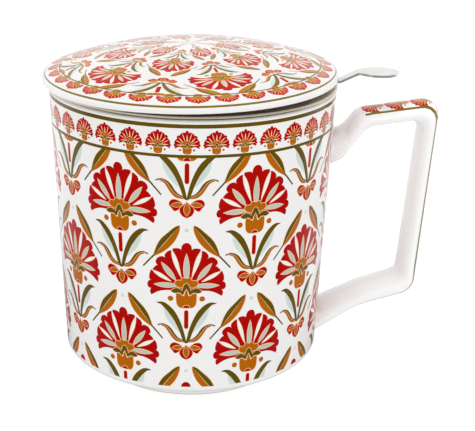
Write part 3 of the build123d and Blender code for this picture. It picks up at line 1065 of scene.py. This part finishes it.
def make_sieve():
    """The infuser's floor: a perforated disc with its edge turned down."""
    reach = math.ceil(SIEVE_RADIUS / HOLE_ROW_PITCH)
    grid = [
        ((column + 0.5 * (row % 2)) * HOLE_PITCH, row * HOLE_ROW_PITCH)
        for row in range(-reach, reach + 1) for column in range(-reach, reach + 1)
    ]
    centres = [spot for spot in grid if math.hypot(*spot) < SIEVE_HOLES_REACH]

    def lay(x, y, depth):
        return (x, y, SIEVE_TOP - depth), (0, 0, -1 if depth else 1)

    shell = Shell()
    rim = SIEVE_FLAT - 0.01
    perforate(shell, circle(SIEVE_FLAT), [], centres, lay, lambda x, y: math.hypot(x, y) > rim)
    outer, inner = (
        rounded([(SIEVE_FLAT, top), (radius, top), (radius, TUBE_HEIGHTS[0])], [edge_round])
        for radius, top, edge_round in (
            (SIEVE_RADIUS, SIEVE_TOP, SIEVE_ROUND),
            (SIEVE_RADIUS - SHEET, SIEVE_TOP - SHEET, SIEVE_ROUND - SHEET),
        )
    )
    lathe(shell, outer + inner[::-1], lambda i: 0)
    piece = shell.build("infuser_sieve", [PERFORATED], "infuser")
    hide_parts("infuser_floor")


def finish_nodes():
    """Lightened steel on the CAD piece that stays: its colour is painted light."""
    for slot in bpy.data.objects["infuser_tab"].material_slots:
        slot.material = STEEL_LIGHTENED


# ---------------- stage, light and camera

CAMERA_PLACE = (-12.28, -351.79, 177.8)
CAMERA_HEADING = 4.354
CAMERA_PITCH = -20.10
CAMERA_ROLL = 1.309
CAMERA_LENS = 88.63

AMBIENT = 0.88
# what the glaze mirrors: the sky by the slope of the ray and the floor by its depth in metres, each
# from where to where it changes, and its brightness before and after
MIRRORED_SKY = (0.33, 0.65, 0.9, 0.25)
MIRRORED_FLOOR = (-0.05, 0.15, 0.03, 0.9)
FLOOR_HALF = 3.0              # metres
FLOOR_TONE = 0.3
FLOOR_GLOW = 0.74             # on the mug
FLOOR_GLOW_SEEN = 0.78        # in the picture


def make_camera():
    """The camera, at the photograph's place."""
    heading, pitch = math.radians(CAMERA_HEADING), math.radians(CAMERA_PITCH)
    forward = Vector((
        math.sin(heading) * math.cos(pitch),
        math.cos(heading) * math.cos(pitch),
        math.sin(pitch),
    ))
    level = Vector((math.cos(heading), -math.sin(heading), 0))
    right = Matrix.Rotation(-math.radians(CAMERA_ROLL), 3, forward) @ level
    up = right.cross(forward)
    data = bpy.data.cameras.new("camera")
    data.lens = CAMERA_LENS
    data.sensor_width = 36.0
    data.sensor_fit = "HORIZONTAL"
    data.clip_start, data.clip_end = 0.01, 20.0
    camera = added("camera", data)
    turn = Matrix((right, up, -forward)).transposed().to_4x4()
    camera.matrix_world = Matrix.Translation(Vector(CAMERA_PLACE) * MM) @ turn
    bpy.context.scene.camera = camera


def softbox(name, place, target, size, strength):
    """A square area lamp that faces a target; strength is its radiance, where 1 is white."""
    data = bpy.data.lights.new(name, "AREA")
    data.shape = "RECTANGLE"
    data.size, data.size_y = size
    data.energy = strength * size[0] * size[1] * math.pi
    lamp = added(name, data)
    lamp.location = place
    lamp.visible_glossy = False
    lamp.rotation_mode = "QUATERNION"
    lamp.rotation_quaternion = (Vector(target) - Vector(place)).to_track_quat("-Z", "Y")


def chosen(tree, switch, off, on):
    """One number or another, as the switch is 0 or 1."""
    mix = node(tree, "ShaderNodeMix", data_type="FLOAT")
    tree.links.new(switch, mix.inputs[0])
    for socket, source in ((2, off), (3, on)):
        if isinstance(source, float):
            mix.inputs[socket].default_value = source
        else:
            tree.links.new(source, mix.inputs[socket])
    return mix.outputs[0]


def make_world():
    """White behind the mug, dimmer where it lights it; in the glaze its upper part is dim."""
    world = bpy.data.worlds.new("studio")
    bpy.context.scene.world = world
    world.use_nodes = True
    tree = world.node_tree
    path = node(tree, "ShaderNodeLightPath").outputs
    aim = node(tree, "ShaderNodeTexCoord").outputs["Generated"]
    rise = node(tree, "ShaderNodeSeparateXYZ", {"Vector": aim}).outputs["Z"]
    mirrored_sky = ranged(tree, rise, *MIRRORED_SKY)
    lit = chosen(tree, path["Is Glossy Ray"], AMBIENT, mirrored_sky)
    strength = chosen(tree, path["Is Camera Ray"], lit, 1.0)
    background = tree.nodes["Background"]
    background.inputs["Color"].default_value = (1, 1, 1, 1)
    tree.links.new(strength, background.inputs["Strength"])


def make_floor():
    """A plain white floor that glows a little, so that it lights the mug from below."""
    mesh = bpy.data.meshes.new("floor")
    corners = [(x * FLOOR_HALF, y * FLOOR_HALF, 0) for x, y in ((-1, -1), (1, -1), (1, 1), (-1, 1))]
    mesh.from_pydata(corners, [], [(0, 1, 2, 3)])
    made, tree, shader = material("floor_white")
    shader.inputs["Roughness"].default_value = 0.9
    shader.inputs["Specular IOR Level"].default_value = 0.0
    shader.inputs["Emission Color"].default_value = (1, 1, 1, 1)
    path = node(tree, "ShaderNodeLightPath").outputs
    place = node(tree, "ShaderNodeNewGeometry").outputs["Position"]
    depth = node(tree, "ShaderNodeSeparateXYZ", {"Vector": place}).outputs["Y"]
    mirrored_floor = ranged(tree, depth, *MIRRORED_FLOOR)
    tone = chosen(tree, path["Is Glossy Ray"], FLOOR_TONE, mirrored_floor)
    colour = node(tree, "ShaderNodeCombineColor", {0: tone, 1: tone, 2: tone}).outputs[0]
    tree.links.new(colour, shader.inputs["Base Color"])
    glow = chosen(tree, path["Is Camera Ray"], FLOOR_GLOW, FLOOR_GLOW_SEEN)
    tree.links.new(chosen(tree, path["Is Glossy Ray"], glow, 0.0), shader.inputs["Emission Strength"])
    mesh.materials.append(made)
    added("floor", mesh)


make_camera()
make_world()
make_floor()
softbox("key", (-0.6, -1.0, 0.6), (0, 0, 0.05), (1.0, 1.0), 0.25)
softbox("fill", (1.1, -0.7, 0.35), (0, 0, 0.05), (0.8, 0.8), 0.6)
softbox("top", (-0.1, -0.1, 1.2), (0, 0, 0.1), (1.2, 1.2), 1.0)

make_mug()
make_lid()
make_handle()
make_collar()
make_tube()
make_sieve()
finish_nodes()

bpy.context.scene.view_settings.view_transform = "Standard"
bpy.context.view_layer.update()
